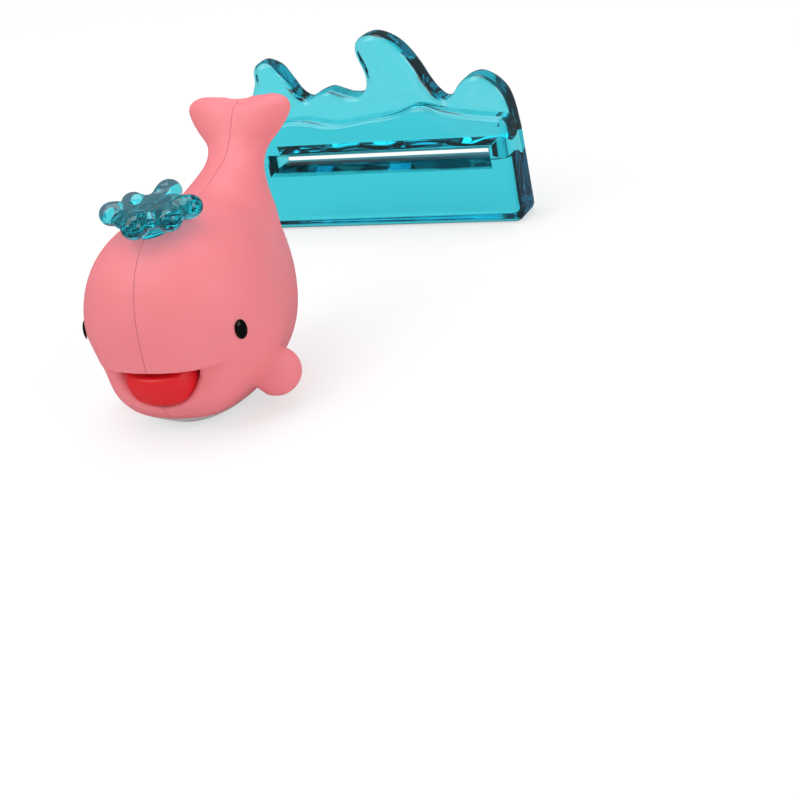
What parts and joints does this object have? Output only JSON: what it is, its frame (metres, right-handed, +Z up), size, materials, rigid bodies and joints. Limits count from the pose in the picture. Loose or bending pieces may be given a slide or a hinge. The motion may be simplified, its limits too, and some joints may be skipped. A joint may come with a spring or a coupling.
{
  "type": "toothpaste tube squeezer",
  "caption": "Smiling whale dispenser cap for a toothpaste tube neck, with a clear wave-shaped slotted squeezer that slides along the flattened tube.",
  "frame": {"origin": "middle of the flat underside of the whale's belly, on the tube's axis plane", "axes": "+Y back along the tube, so the whale looks along -Y; +Z up; +X to the right-hand side of a person who looks the whale in the face"},
  "size_m": [0.079, 0.1404, 0.06],
  "materials": {
    "pink_abs": "fine matte moulded",
    "white_abs": "satin moulded",
    "black_abs": "polished",
    "red_silicone": "soft satin",
    "clear_teal_polystyrene": "clear polished",
    "white_polypropylene": "moulded",
    "grey_silicone": "soft matte"
  },
  "bodies": {
    "whale": {"body_left": "pink_abs", "body_right": "pink_abs", "belly_base": "white_abs", "eye_left": "black_abs", "eye_right": "black_abs", "splash": "clear_teal_polystyrene", "neck_collar": "white_polypropylene", "neck_gasket": "grey_silicone", "feed_duct": "white_polypropylene", "slit_valve": "grey_silicone"},
    "tongue": {"tongue": "red_silicone"},
    "squeezer": {"wave_squeezer": "clear_teal_polystyrene"}
  },
  "joints": [
    {"name": "squeezer_slide", "type": "slide", "parent": "whale", "child": "squeezer", "axis": [0, 1, 0], "range_m": [-0.06, 0.036]},
    {"name": "tongue_flap", "type": "hinge", "parent": "whale", "child": "tongue", "pos_m": [0, -0.0189, 0.0146], "axis": [-1, 0, 0], "range_deg": [0, 8]}
  ]
}
